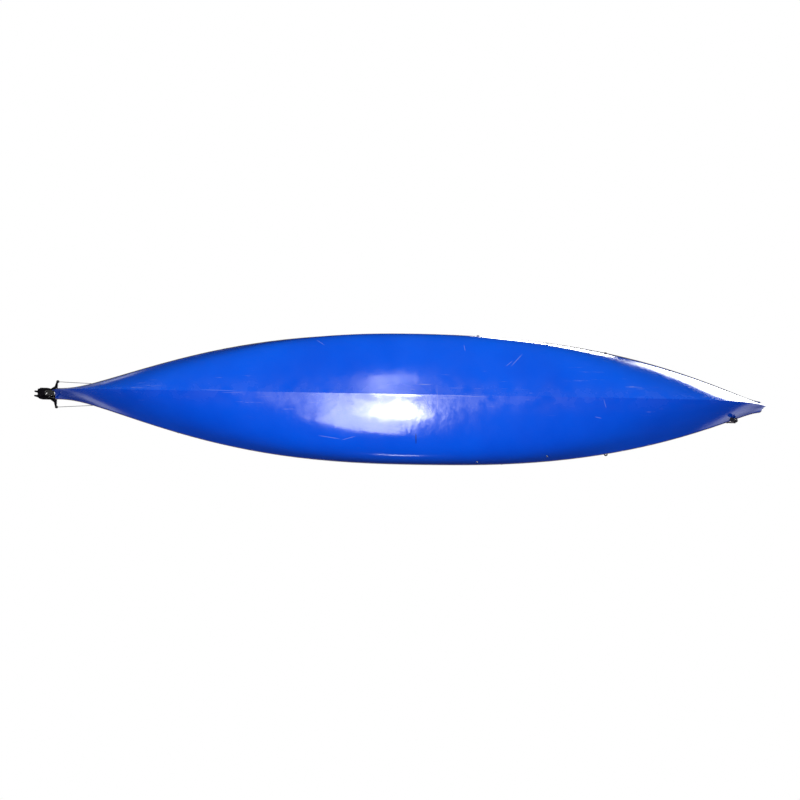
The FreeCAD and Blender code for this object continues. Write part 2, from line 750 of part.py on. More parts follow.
def rudder_head():
    """The moulded block on the pin, its lower jaw and the two cheeks that hold the blade."""
    fore, aft = YAW_X + 15, BLADE_X
    plan = [(fore, -20), (fore, 20), (fore - 12, 31), (aft + 16, 31), (aft, 20),
            (aft, -20), (aft + 16, -31), (fore - 12, -31)]
    block = plate_z(plan, *HEAD_Z)
    block = rounded(block, 5, along(Z_AXIS))
    block = rounded(block, 3.5, level(HEAD_Z[1]))
    block = rounded(block, 3.5, level(HEAD_Z[0]))
    jaw = rod(19, (YAW_X, 0, JAW_Z[0]), (YAW_X, 0, JAW_Z[1]))
    jaw = jaw.fuse(box((YAW_X - 23, YAW_X), (-19, 19), JAW_Z))
    back = box((YAW_X - 23, YAW_X - 15.5), (-19, 19), (JAW_Z[0], HEAD_Z[0] + 8))
    lower = rounded(jaw.fuse(back).removeSplitter(), 3, level(JAW_Z[0]))
    solids = [block, lower]
    for side in (-1, 1):
        y = sorted([side * CHEEK_Y[0], side * CHEEK_Y[1]])
        outline = [(BLADE_X - 20, HEAD_Z[0] + 12), (YAW_X - 26, HEAD_Z[0] + 12),
                   (YAW_X - 26, HEAD_Z[1]), (BLADE_X + 26, BLADE_Z), (BLADE_X, BLADE_Z + 20),
                   (BLADE_X - 26, BLADE_Z)]
        solids.append(plate_y(outline, *y))
        solids.append(rod(CHEEK_RADIUS, (BLADE_X, y[0], BLADE_Z), (BLADE_X, y[1], BLADE_Z)))
    head = fused(*solids)
    slot = box((BLADE_X - 60, YAW_X - 24), (-CHEEK_Y[0], CHEEK_Y[0]), (270, 400))
    slot = slot.fuse(box((BLADE_X - 60, YAW_X - 14), (-CHEEK_Y[0], CHEEK_Y[0]), (296, 400)))
    head = head.cut(slot)
    head = head.cut(rod(PIN_RADIUS + 0.02, (YAW_X, 0, JAW_Z[0] + 4), (YAW_X, 0, 340)))
    head = head.cut(rod(5.02, (BLADE_X, -40, BLADE_Z), (BLADE_X, 40, BLADE_Z)))
    for y in (-13, 13):
        head = head.cut(rod(2.55, (YAW_X - 6, y, 312), (YAW_X - 6, y, 330)))
    return head


def rudder_yoke():
    """A plate whose two tapered arms carry the steering cables."""
    x, y = YOKE_TIP
    outline = [(x + 2, -y + 4), (x + 2, y - 4), (x - 7, y), (x - 15, 44), (YAW_X, 28),
               (YAW_X - 20, 24), (YAW_X - 20, -24), (YAW_X, -28), (x - 15, -44), (x - 7, -y)]
    plate = plate_z(outline, *YOKE_Z)
    tips = [rod(8, (x, s * y, YOKE_Z[0]), (x, s * y, YOKE_Z[1])) for s in (-1, 1)]
    yoke = fused(plate, *tips)
    holes = [rod(2.6, (x, s * y, 320), (x, s * y, 340)) for s in (-1, 1)]
    holes += [rod(2.55, (YAW_X - 6, s, 320), (YAW_X - 6, s, 340)) for s in (-13, 13)]
    return yoke.cut(Part.makeCompound(holes))


def yoke_screws():
    screws = []
    for y in (-13, 13):
        shank = rod(2.5, (YAW_X - 6, y, 313), (YAW_X - 6, y, YOKE_Z[1] + 0.1))
        head = rod(5, (YAW_X - 6, y, YOKE_Z[1] + 0.05), (YAW_X - 6, y, YOKE_Z[1] + 3))
        screws.append(fused(shank, head))
    return Part.makeCompound(screws)


def cable_pins():
    """The pin and eye on each yoke tip that a steering cable is hooked to."""
    x, y = YOKE_TIP
    pin = rod(2.5, (x, y, YOKE_Z[0] - 4), (x, y, CABLE_Z + 3.5))
    foot = rod(4.5, (x, y, YOKE_Z[0] - 4), (x, y, YOKE_Z[0] - 0.1))
    eye = Part.makeTorus(4.6, 1.8, Vector(x, y, CABLE_Z), Z_AXIS)
    return pair(fused(pin, foot, eye))


def steering_cable():
    """Port cable, taut from the yoke's tip to the fairlead on the deck."""
    start = Vector(YOKE_TIP[0] + 7.2, YOKE_TIP[1] - 0.3, CABLE_Z - 0.4)
    end = Vector(*FAIRLEAD_IN)
    return rod(CABLE_RADIUS, start, end - (end - start).normalize() * 0.6)


def fairlead_body(radius, beyond=0.0):
    start, end = Vector(*FAIRLEAD_IN), Vector(*FAIRLEAD_OUT)
    heading = (end - start).normalize()
    return rod(radius, start - heading * beyond, end + heading * beyond)


def cable_fairlead():
    """A nozzle through the deck that the cable runs in by."""
    start = Vector(*FAIRLEAD_IN)
    heading = (Vector(*FAIRLEAD_OUT) - start).normalize()
    nose = Part.makeCone(5, 8, 12, start, heading)
    body = fused(nose, rod(8, start + heading * 8, Vector(*FAIRLEAD_OUT)))
    return body.cut(fairlead_body(2.4, 2))


HOUSING_X = (-1500.0, -1340.0, -1120.0, -860.0, -600.0, -330.0, -60.0)
HOUSING_OFF_HULL = 9.0


def housing_route():
    """Port route from the fairlead, along the hull's side, to the rail's aft end."""
    start, end = Vector(*FAIRLEAD_OUT), RAIL.multVec(Vector(-3, WIRE_Y, WIRE_Z))
    lead = RAIL.multVec(Vector(HOUSING_LEAD, WIRE_Y, WIRE_Z))
    start += (start - Vector(*FAIRLEAD_IN)).normalize() * 0.6
    points = [tuple(start)]
    for i, x in enumerate(HOUSING_X):
        share = (i + 1) / (len(HOUSING_X) + 1)
        z = start.z + (end.z - start.z) * math.sqrt(share) * 0.92
        points.append((x, hull_side(x, z, WALL) - HOUSING_OFF_HULL, z))
    return points + [tuple(lead), tuple(end)]


def housing_clearance():
    """The solid shape of the port tube and the gap around it in a bulkhead."""
    return tube(housing_route(), 5.0, 0)


def cable_housing():
    """Port tube that the steering wire runs in."""
    return tube(housing_route(), 3.5, 1.9)


def rudder_blade():
    """A flat blade, stowed forwards along the deck, on its hub."""
    def at(points):
        return [(BLADE_X + u, BLADE_Z + w) for u, w in points]

    outline = at([(0, -17), (505, -17), (556, 4), (566, 34), (548, 66), (505, 80), (300, 77),
                  (226, 62), (165, 26), (0, 24)])
    blade = plate_y(outline, -3.5, 3.5)
    blade = rounded(blade, 26, lambda e: along(Y_AXIS)(e) and e.BoundBox.XMin > BLADE_X + 160)
    hub = rod(26, (BLADE_X, -7.5, BLADE_Z), (BLADE_X, 7.5, BLADE_Z))
    shank = plate_y(at([(0, -17), (110, -17), (110, 24), (0, 24)]), -6, 6)
    blade = fused(blade, hub, shank)
    return blade.cut(rod(5 + RUN, (BLADE_X, -20, BLADE_Z), (BLADE_X, 20, BLADE_Z)))


def blade_bolt():
    """The blade's pivot bolt, with a head to port and a nut to starboard."""
    shank = rod(5, (BLADE_X, -22, BLADE_Z), (BLADE_X, 21, BLADE_Z))
    head = rod(9, (BLADE_X, CHEEK_Y[1] + 0.1, BLADE_Z), (BLADE_X, 21, BLADE_Z))
    corners = [
        (BLADE_X + 9 * math.cos(a), BLADE_Z + 9 * math.sin(a))
        for a in [math.radians(60 * i) for i in range(6)]
    ]
    nut = plate_y(corners, -22.5, -CHEEK_Y[1] - 0.1)
    return fused(shank, head, nut)


REST_X = -1520.0


def rudder_rest():
    """A low rubber pad on the ridge that the stowed blade lies on."""
    top = BLADE_Z - 17 - 0.8
    pad = box((REST_X - 22, REST_X + 22), (-20, 20), (ridge(REST_X) + 0.3, top))
    pad = rounded(pad, 9, along(Z_AXIS))
    return rounded(pad, 3, level(top))


# ---- carrying toggles and deck fittings ---------------------------------
BOW_EYE = (1835.0, 88.0, 374.0)
GRIP_RADIUS, GRIP_LENGTH = 11.5, 78.0
STERN_EYE_X = -1330.0
STRAP = 2.4            # thickness of the webbing


def grip(middle, heading):
    """A waisted handle, thicker at its two ends."""
    middle, heading = Vector(*middle), Vector(*heading).normalize()
    half = GRIP_LENGTH / 2
    bar = rod(GRIP_RADIUS - 2, middle - heading * half, middle + heading * half)
    ends = [
        rod(GRIP_RADIUS, middle + heading * (s * half), middle + heading * (s * (half - 12)))
        for s in (-1, 1)
    ]
    return rounded(fused(bar, *ends), 1.8, lambda e: e.Curve.TypeId == "Part::GeomCircle")


def bow_eye():
    """A bracket on the port deck edge, with a bar along X outside it for the strap."""
    x, y, z = BOW_EYE
    inner, edge = y - 28, HALF_BEAM * half_breadth(place(x - 24))
    under = [(v, deck_top(x - 24, v) + 0.6) for v in (inner, inner + 5, inner + 10, edge - 6)]
    outline = under + [(edge, z - 5.5), (y + 4, z - 5.5), (y + 4, z + 4), (inner + 6, z + 17),
                       (inner, z + 17)]
    bracket = plate_x(outline, x - 24, x + 24)
    gap = box((x - 16, x + 16), (y - 9, y + 9), (z - 30, z + 30))
    bar = rod(2.5, (x - 20, y, z), (x + 20, y, z))
    return fused(rounded(bracket.cut(gap), 2, along(X_AXIS)), bar)


BOW_GRIP, BOW_GRIP_HEADING = (1825.0, 79.0, 305.0), (1, 0, 1.4)


def grip_space(middle, heading):
    """The room that a grip takes in its strap."""
    middle, heading = Vector(*middle), Vector(*heading).normalize()
    half = GRIP_LENGTH / 2
    space = rod(GRIP_RADIUS - 1.9, middle - heading * half, middle + heading * half)
    for s in (-1, 1):
        outer, inner = heading * (s * half), heading * (s * (half - 12.2))
        space = space.fuse(rod(GRIP_RADIUS + 0.1, middle + outer, middle + inner))
    return space


def bow_strap():
    """Webbing that is looped round the eye's bar and sewn to the grip."""
    x, y, z = BOW_EYE
    gx, gy, gz = BOW_GRIP
    lean = math.degrees(math.atan2(y - gy, z - gz))
    length = math.hypot(y - gy, z - gz)
    loop = rod(2.8 + STRAP, (x - 12, y, z), (x + 12, y, z))
    tail = box((x - 12, x + 12), (y - STRAP / 2, y + STRAP / 2), (z - length, z))
    tail.rotate(Vector(x, y, z), X_AXIS, -lean)
    strap = fused(loop, tail).cut(grip_space(BOW_GRIP, BOW_GRIP_HEADING))
    return strap.cut(rod(2.8, (x - 14, y, z), (x + 14, y, z)))


def stern_eye():
    x = STERN_EYE_X
    z = ridge(x)
    base = box((x - 14, x + 14), (-24, 24), (z + 0.3, z + 4))
    posts = [box((x - 4, x + 4), (s * 19 - 4, s * 19 + 4), (z + 3, z + 14)) for s in (-1, 1)]
    bar = rod(2.5, (x, -19, z + 10), (x, 19, z + 10))
    return rounded(fused(base, *posts, bar), 3, along(Z_AXIS))


STERN_GRIP = (STERN_EYE_X + 62, 0.0, ridge(STERN_EYE_X + 62) + GRIP_RADIUS + 1.5)


def stern_strap():
    x, z = STERN_EYE_X, ridge(STERN_EYE_X) + 10
    gx, gz = STERN_GRIP[0], STERN_GRIP[2]
    loop = rod(2.8 + STRAP, (x, -12, z), (x, 12, z))
    half = STRAP / 2
    tail = box((x, x + math.hypot(gx - x, gz - z)), (-12, 12), (z - half, z + half))
    tail.rotate(Vector(x, 0, z), Y_AXIS, -math.degrees(math.atan2(gz - z, gx - x)))
    strap = fused(loop, tail).cut(grip_space(STERN_GRIP, (0, 1, 0)))
    return strap.cut(rod(2.8, (x, -14, z), (x, 14, z)))


# (x, share of the half breadth) of each pair of padeyes, near the sheer.
PADEYES = ((1129.0, 0.972), (560.0, 0.955), (-640.0, 0.95), (-1200.0, 0.95))
EYE_Y, EYE_Z, EYE_RADIUS = (-2.75, 2.75), 11.5, 4.5


def padeye():
    """A moulded eye on a screwed base, in its own frame."""
    base = rounded(box((-19, 19), (-7.5, 7.5), (0, 3.5)), 5, along(Z_AXIS))
    eye = box((-10, 10), EYE_Y, (1, EYE_Z)).fuse(rod(10, (0, EYE_Y[0], EYE_Z), (0, EYE_Y[1], EYE_Z)))
    holes = [rod(2.05, (s * 14.5, 0, -1), (s * 14.5, 0, 5)) for s in (-1, 1)]
    holes.append(rod(EYE_RADIUS, (0, -9, EYE_Z), (0, 9, EYE_Z)))
    return fused(base, eye).cut(Part.makeCompound(holes))


def padeye_screw_set():
    screws = []
    for s in (-1, 1):
        shank = rod(2, (s * 14.5, 0, 0.2), (s * 14.5, 0, 4))
        screws.append(fused(shank, rod(3.2, (s * 14.5, 0, 3.6), (s * 14.5, 0, 5.2))))
    return Part.makeCompound(screws)


def at_padeyes(shape):
    """A fitting at every padeye's place, port and starboard."""
    copies = []
    for x, share in PADEYES:
        y = share * HALF_BEAM * half_breadth(place(x))
        port = on_deck(shape, x, y, 0.5)
        copies += [port, mirrored(port)]
    return [solid for copy in copies for solid in copy.Solids]


# ---- shells, last because the other parts cut them ----------------------
def hull():
    outer = bow_rounded(loft(hull_half, 0, 1))
    outer = outer.cut(at_post(box((-120, 0), (-100, 100), (-200, 0))))
    shell = outer.cut(loft(hull_half, *HOLLOW, depth=WALL, lift=30.0))
    holes = [at_rail(hole) for hole in rail_bolt_holes()]
    holes += [mirrored(hole) for hole in holes]
    holes += [at_post(rod(3.05, (-2, 0, z), (31, 0, z))) for z in BRACKET_BOLT_Z]
    return shell.cut(Part.makeCompound(holes))


def deck():
    outer = bow_rounded(loft(deck_from_ridge, 0, 1))
    shell = outer.cut(loft(deck_from_ridge, *HOLLOW, depth=WALL, lift=-30.0))
    fairlead = fairlead_body(8 + SET_IN, 6)
    holes = [cockpit_hole(), hatch_hole(BOW_HATCH), hatch_hole(STERN_HATCH)]
    return shell.cut(Part.makeCompound(holes + [fairlead, mirrored(fairlead)]))


def seam_band():
    outer = bow_rounded(sheer_strip(5.5, BAND), BAND)
    return outer.cut(bow_rounded(sheer_strip(7.5, 0.1), 0.1))


def make_parts():
    parts["hull"] = hull()
    parts["deck"] = deck()
    parts["seam_band"] = seam_band()
    parts["cockpit_coaming"] = coaming()
    parts["front_bulkhead"] = bulkhead(FRONT_BULKHEAD_X)
    parts["rear_bulkhead"] = bulkhead(REAR_BULKHEAD_X)
    for name, hatch in [("bow", BOW_HATCH), ("stern", STERN_HATCH)]:
        parts[name + "_hatch_rim"] = hatch_rim(hatch)
        parts[name + "_hatch_cover"] = hatch_cover(hatch)
    parts["seat_pan"] = seat_pan()
    parts["seat_cushion"] = seat_cushion()
    parts["seat_bolts"] = pair(Part.makeCompound(seat_bolts()))
    parts["backrest_shell"] = backrest_shell()
    parts["backrest_pad"] = backrest_pad()
    parts["backrest_pins"] = backrest_pins()
    sided = {
        "seat_hanger": seat_hanger, "thigh_brace": thigh_brace, "thigh_pad": thigh_pad,
        "foot_rail": foot_rail, "foot_slider": foot_slider, "foot_pedal": foot_pedal,
        "steering_cable": steering_cable, "cable_fairlead": cable_fairlead,
        "cable_housing": cable_housing,
    }
    for name, make in sided.items():
        port = make()
        parts[name + "_left"] = port
        parts[name + "_right"] = mirrored(port)
    parts["rail_bolts"] = pair(Part.makeCompound(rail_bolts()))
    parts["stern_bracket"] = stern_bracket()
    parts["bracket_bolts"] = bracket_bolts()
    parts["rudder_pin"] = rudder_pin()
    parts["rudder_head"] = rudder_head()
    parts["rudder_yoke"] = rudder_yoke()
    parts["yoke_screws"] = yoke_screws()
    parts["cable_pins"] = cable_pins()
    parts["rudder_blade"] = rudder_blade()
    parts["blade_bolt"] = blade_bolt()
    parts["rudder_rest"] = rudder_rest()
    parts["bow_eye"] = bow_eye()
    parts["bow_strap"] = bow_strap()
    parts["bow_grip"] = grip(BOW_GRIP, BOW_GRIP_HEADING)
    parts["stern_eye"] = stern_eye()
    parts["stern_strap"] = stern_strap()
    parts["stern_grip"] = grip(STERN_GRIP, (0, 1, 0))
    parts["deck_padeyes"] = Part.makeCompound(at_padeyes(padeye()))
    parts["padeye_screws"] = Part.makeCompound(at_padeyes(padeye_screw_set()))


make_parts()
os.makedirs("parts", exist_ok=True)
for name, shape in parts.items():
    shape.exportStep("parts/" + name + ".step")
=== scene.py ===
"""Looks, light and camera for the touring kayak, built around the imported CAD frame."""

import bpy
import bmesh
import json
import math
from mathutils import Matrix, Vector


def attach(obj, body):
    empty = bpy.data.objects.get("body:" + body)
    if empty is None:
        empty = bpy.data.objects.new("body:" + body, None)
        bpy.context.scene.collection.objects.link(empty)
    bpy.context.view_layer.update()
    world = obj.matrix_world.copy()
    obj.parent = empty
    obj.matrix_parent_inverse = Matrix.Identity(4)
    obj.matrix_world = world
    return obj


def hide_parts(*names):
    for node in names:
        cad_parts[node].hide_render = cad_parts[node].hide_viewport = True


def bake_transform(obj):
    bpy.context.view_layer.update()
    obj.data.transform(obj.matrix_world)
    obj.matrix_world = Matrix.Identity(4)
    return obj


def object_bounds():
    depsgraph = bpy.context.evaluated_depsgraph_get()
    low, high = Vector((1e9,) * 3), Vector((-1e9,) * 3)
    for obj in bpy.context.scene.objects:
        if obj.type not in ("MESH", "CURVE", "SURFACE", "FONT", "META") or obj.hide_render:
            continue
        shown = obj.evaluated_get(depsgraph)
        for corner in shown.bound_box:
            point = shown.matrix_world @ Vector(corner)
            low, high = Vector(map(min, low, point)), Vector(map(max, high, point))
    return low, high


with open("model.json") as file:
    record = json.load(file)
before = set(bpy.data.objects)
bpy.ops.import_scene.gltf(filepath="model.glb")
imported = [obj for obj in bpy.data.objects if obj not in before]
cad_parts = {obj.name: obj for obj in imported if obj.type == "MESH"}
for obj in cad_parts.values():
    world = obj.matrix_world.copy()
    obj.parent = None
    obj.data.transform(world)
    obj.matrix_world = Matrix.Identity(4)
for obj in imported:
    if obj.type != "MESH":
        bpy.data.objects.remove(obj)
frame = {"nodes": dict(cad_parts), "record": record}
CAD_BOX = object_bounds()
NODES = frame["nodes"]
BODIES = frame["record"]["behaviour"]["bodies"]
SLOTS = {part["node"]: part["material_slot"] for part in frame["record"]["subparts"]}


# ---- shader helpers -----------------------------------------------------
class Shader:
    """A material that is built up node by node around one Principled shader."""

    def __init__(self, name, **fixed):
        self.material = bpy.data.materials.new(name)
        self.material.use_nodes = True
        self.tree = self.material.node_tree
        self.bsdf = self.tree.nodes["Principled BSDF"]
        for socket, value in fixed.items():
            self.bsdf.inputs[socket.replace("_", " ")].default_value = value
        where = self.add("ShaderNodeTexCoord").outputs
        self.place, self.facing = where["Object"], where["Normal"]

    def add(self, kind, inputs=(), **settings):
        node = self.tree.nodes.new(kind)
        for key, value in settings.items():
            setattr(node, key, value)
        for socket, value in dict(inputs).items():
            self.feed(node.inputs[socket], value)
        return node

    def feed(self, socket, value):
        if isinstance(value, bpy.types.NodeSocket):
            self.tree.links.new(value, socket)
        else:
            socket.default_value = value

    def drive(self, socket, value):
        self.feed(self.bsdf.inputs[socket], value)

    def stretched(self, scale, turn=(0, 0, 0)):
        """Object coordinates, scaled along each axis."""
        inputs = {"Vector": self.place, "Scale": scale, "Rotation": turn}
        return self.add("ShaderNodeMapping", inputs).outputs["Vector"]

    def noise(self, scale, detail=4.0, stretch=(1, 1, 1), rough=0.5):
        inputs = {"Vector": self.stretched(stretch), "Scale": scale, "Detail": detail, "Roughness": rough}
        return self.add("ShaderNodeTexNoise", inputs).outputs["Fac"]

    def wave(self, scale, axis, distortion, turn):
        inputs = {"Vector": self.stretched((1, 1, 1), turn), "Scale": scale, "Distortion": distortion}
        node = self.add("ShaderNodeTexWave", inputs, wave_type="BANDS", bands_direction=axis)
        return node.outputs["Fac"]

    def cells(self, scale):
        inputs = {"Vector": self.stretched((1, 1, 1)), "Scale": scale}
        return self.add("ShaderNodeTexVoronoi", inputs, feature="F1").outputs["Distance"]

    def math(self, operation, a, b=0.0, clamp=False):
        node = self.add("ShaderNodeMath", {0: a, 1: b}, operation=operation, use_clamp=clamp)
        return node.outputs["Value"]

    def spread(self, value, low, high, to_low=0.0, to_high=1.0):
        """Maps low..high of a value to another range, clamped."""
        inputs = {"Value": value, "From Min": low, "From Max": high, "To Min": to_low, "To Max": to_high}
        return self.add("ShaderNodeMapRange", inputs).outputs["Result"]

    def mix(self, share, a, b):
        inputs = {"Factor": share}
        node = self.add("ShaderNodeMix", inputs, data_type="RGBA")
        self.feed(node.inputs["A"], a)
        self.feed(node.inputs["B"], b)
        return node.outputs["Result"]

    def axis(self, name):
        return self.add("ShaderNodeSeparateXYZ", {"Vector": self.place}).outputs[name]

    def stroke(self, x, y, length, turn, width):
        """1 along one straight scratch on the hull's underside."""
        inputs = {"Vector": self.place, "Location": (x, y, 0), "Rotation": (0, 0, math.radians(turn))}
        local = self.add("ShaderNodeMapping", inputs, vector_type="TEXTURE").outputs["Vector"]
        axes = self.add("ShaderNodeSeparateXYZ", {"Vector": local}).outputs
        run = self.spread(self.math("ABSOLUTE", axes["X"]), length / 4, length / 2, 1.0, 0.0)
        side = self.spread(self.math("ABSOLUTE", axes["Y"]), width / 2, width, 1.0, 0.0)
        below = self.spread(axes["Z"], 0.20, 0.26, 1.0, 0.0)
        return self.math("MULTIPLY", self.math("MULTIPLY", run, side), below)

    def bump(self, height, strength, distance, base=None):
        inputs = {"Height": height, "Strength": strength, "Distance": distance}
        node = self.add("ShaderNodeBump", inputs)
        if base is not None:
            self.feed(node.inputs["Normal"], base)
        self.drive("Normal", node.outputs["Normal"])
        return node.outputs["Normal"]


def rgba(r, g, b):
    return (r, g, b, 1.0)


# ---- materials ----------------------------------------------------------
HULL_BLUE = rgba(0.0, 0.135, 0.98)
HULL_DEEP = rgba(0.0, 0.115, 0.90)
HAZE = rgba(0.42, 0.56, 0.90)
# (x, y, length, turn in degrees, width) of the scratches that stand out on the bottom.
SCRATCHES = (
    (-0.93, -0.004, 0.20, 1.0, 0.0016), (-0.86, 0.006, 0.12, -1.0, 0.0012),
    (0.33, 0.004, 0.26, 1.5, 0.0018), (0.24, 0.016, 0.10, -2.0, 0.0014),
    (0.60, -0.19, 0.10, -48.0, 0.0030), (0.56, -0.17, 0.05, -40.0, 0.0022),
    (0.33, -0.25, 0.04, 80.0, 0.0020), (-0.42, -0.27, 0.06, 35.0, 0.0020),
    (-0.36, 0.225, 0.12, 8.0, 0.0026), (-0.26, 0.228, 0.08, -16.0, 0.0022),
    (1.05, 0.03, 0.05, 70.0, 0.0022), (1.02, 0.10, 0.04, 10.0, 0.0026),
    (0.19, 0.01, 0.14, 88.0, 0.0014), (0.14, 0.05, 0.10, 60.0, 0.0012),
)
DARK_MARK = (0.085, 0.225, 0.06, 88.0, 0.0026)
DARK = rgba(0.02, 0.03, 0.12)
SCRATCH_SHARE = 0.4          # how far a scratch turns the blue to haze, next to a scuff
SCUFF_ROUGH = 0.30           # roughness that a scuff adds
RUBBED_ROUGH = 0.20          # roughness that the rubbed keel adds


def blue_shell(name, worn):
    """Glossy blue plastic; the worn one has scratches and scuffs along its keel."""
    s = Shader(name, IOR=1.5, Coat_Weight=0.5)
    mottle = s.noise(3.0, 3.0)
    colour = s.mix(s.spread(mottle, 0.35, 0.65), HULL_DEEP, HULL_BLUE)
    rough = s.spread(s.noise(9.0, 4.0), 0.3, 0.7, 0.13, 0.19)
    gloss = s.spread(s.noise(11.0, 4.0), 0.35, 0.65, 0.06, 0.13)
    if worn:
        off_keel = s.math("ABSOLUTE", s.axis("Y"))
        facing = s.add("ShaderNodeSeparateXYZ", {"Vector": s.facing}).outputs["Z"]
        outside = s.spread(facing, -0.15, 0.0, 1.0, 0.0)
        low = s.math("MULTIPLY", s.spread(s.axis("Z"), 0.02, 0.09, 1.0, 0.0), outside)
        zone = s.math("MULTIPLY", s.spread(off_keel, 0.03, 0.19, 1.0, 0.0), low)
        rubbed = s.math("MULTIPLY", s.spread(off_keel, 0.01, 0.10, 1.0, 0.0), low)
        rubbed = s.math("MULTIPLY", rubbed, s.spread(s.noise(14.0, 5.0), 0.35, 0.60))
        streaks = s.noise(30.0, 5.0, (0.12, 2.4, 1.0), 0.7)
        patches = s.spread(s.noise(4.5, 2.0, (0.6, 2.0, 1.0)), 0.49, 0.60)
        lines = s.math("MULTIPLY", s.spread(streaks, 0.62, 0.69), patches)
        scuff = s.math("MULTIPLY", lines, zone)
        for scratch in SCRATCHES:
            scuff = s.math("MAXIMUM", scuff, s.math("MULTIPLY", s.stroke(*scratch), SCRATCH_SHARE))
        scuff = s.math("MULTIPLY", scuff, outside)
        colour = s.mix(s.math("MULTIPLY", scuff, 0.7), colour, HAZE)
        dark = s.math("MULTIPLY", s.stroke(*DARK_MARK), outside)
        colour = s.mix(dark, colour, DARK)
        rough = s.math("ADD", rough, s.math("MULTIPLY", scuff, SCUFF_ROUGH))
        rough = s.math("ADD", rough, s.math("MULTIPLY", rubbed, RUBBED_ROUGH), True)
        gloss = s.math("ADD", gloss, s.math("MULTIPLY", scuff, SCUFF_ROUGH), True)
    s.drive("Base Color", colour)
    s.drive("Roughness", rough)
    s.drive("Coat Roughness", gloss)
    ripple = s.noise(13.0, 3.0)
    peel = s.noise(420.0, 2.0)
    base = s.bump(ripple, 0.35, 0.004)
    s.bump(peel, 0.05, 0.0006, base)
    return s.material


def moulded(name, colour, dust, rough, grain=900.0, depth=0.25, **fixed):
    """Moulded plastic or rubber with a fine grain and a little dust in patches."""
    s = Shader(name, **fixed)
    patches = s.spread(s.noise(22.0, 4.0), 0.45, 0.75)
    s.drive("Base Color", s.mix(patches, colour, dust))
    fine = s.noise(grain, 3.0)
    s.drive("Roughness", s.spread(s.noise(60.0, 4.0), 0.3, 0.7, rough - 0.06, rough + 0.08))
    s.bump(fine, depth, 0.0005)
    return s.material


def steel(name, colour, rough, stretch):
    """Brushed metal, its grain drawn out along one axis."""
    s = Shader(name, Metallic=1.0)
    grain = s.noise(900.0, 3.0, stretch)
    tarnish = s.spread(s.noise(70.0, 4.0), 0.35, 0.75)
    dull = rgba(*(0.72 * c for c in colour[:3]))
    s.drive("Base Color", s.mix(tarnish, colour, dull))
    s.drive("Roughness", s.spread(grain, 0.3, 0.7, rough - 0.06, rough + 0.10))
    s.bump(grain, 0.15, 0.0002)
    return s.material


def woven(name, colour, light, scale):
    """Plain weave: two crossing sets of threads, with uneven dye."""
    s = Shader(name, Sheen_Weight=0.35, Sheen_Roughness=0.5, Specular_IOR_Level=0.3)
    warp, weft, rise = (s.wave(scale, axis, 0.6, (0, 0, 0)) for axis in "XYZ")
    threads = s.math("MAXIMUM", s.math("MULTIPLY", warp, weft), s.math("MULTIPLY", rise, 0.6))
    dye = s.noise(30.0, 4.0)
    shade = s.math("MULTIPLY", s.spread(threads, 0.0, 0.8), s.spread(dye, 0.3, 0.7, 0.5, 1.0))
    s.drive("Base Color", s.mix(shade, colour, light))
    s.drive("Roughness", s.spread(dye, 0.3, 0.7, 0.75, 0.9))
    s.bump(threads, 0.5, 0.0006)
    return s.material


def foam(name):
    s = Shader(name, Specular_IOR_Level=0.25)
    cells = s.cells(520.0)
    blotch = s.noise(9.0, 3.0)
    s.drive("Base Color", s.mix(blotch, rgba(0.16, 0.17, 0.18), rgba(0.26, 0.27, 0.28)))
    s.drive("Roughness", s.spread(cells, 0.0, 0.6, 0.95, 0.7))
    s.bump(cells, 0.6, 0.0008)
    return s.material


BLACK = rgba(0.012, 0.012, 0.013)
DUSTY = rgba(0.03, 0.03, 0.031)
FINISHES = {
    "hull_blue": blue_shell("hull_blue", True),
    "deck_blue": blue_shell("deck_blue", False),
    "seam_grey": moulded("seam_grey", rgba(0.26, 0.27, 0.23), rgba(0.34, 0.35, 0.30), 0.5),
    "black_plastic": moulded("black_plastic", BLACK, DUSTY, 0.42),
    "head_plastic": moulded("head_plastic", rgba(0.006, 0.006, 0.007), BLACK, 0.22, 300.0, 0.06,
                            Coat_Weight=0.4, Coat_Roughness=0.1),
    "black_rubber": moulded("black_rubber", rgba(0.016, 0.016, 0.016), rgba(0.04, 0.04, 0.038), 0.62),
    "bulkhead_foam": foam("bulkhead_foam"),
    "seat_plastic": moulded("seat_plastic", rgba(0.03, 0.032, 0.035), rgba(0.05, 0.052, 0.055), 0.5),
    "seat_fabric": woven("seat_fabric", rgba(0.012, 0.013, 0.015), rgba(0.07, 0.075, 0.085), 420.0),
    "pad_fabric": woven("pad_fabric", rgba(0.03, 0.033, 0.038), rgba(0.11, 0.12, 0.13), 420.0),
    "stainless": steel("stainless", rgba(0.75, 0.75, 0.73), 0.28, (1.0, 0.06, 1.0)),
    "bolt_steel": steel("bolt_steel", rgba(0.66, 0.66, 0.65), 0.3, (1.0, 1.0, 1.0)),
    "rail_aluminium": steel("rail_aluminium", rgba(0.62, 0.63, 0.65), 0.34, (0.03, 1.0, 1.0)),
    "wire_steel": steel("wire_steel", rgba(0.74, 0.75, 0.74), 0.35, (0.3, 1.0, 1.0)),
    "housing_plastic": moulded("housing_plastic", rgba(0.42, 0.43, 0.42), rgba(0.5, 0.5, 0.48), 0.4),
    "blade_plastic": moulded("blade_plastic", rgba(0.014, 0.014, 0.015), rgba(0.05, 0.05, 0.05), 0.38),
    "webbing": woven("webbing", rgba(0.008, 0.008, 0.009), rgba(0.05, 0.05, 0.055), 900.0),
    "grip_rubber": moulded("grip_rubber", rgba(0.006, 0.008, 0.02), rgba(0.02, 0.022, 0.03), 0.45),
}


def finish_cad_nodes():
    for name, node in NODES.items():
        node.data.materials.clear()
        node.data.materials.append(FINISHES[SLOTS[name]])
        for face in node.data.polygons:
            face.use_smooth = True


finish_cad_nodes()


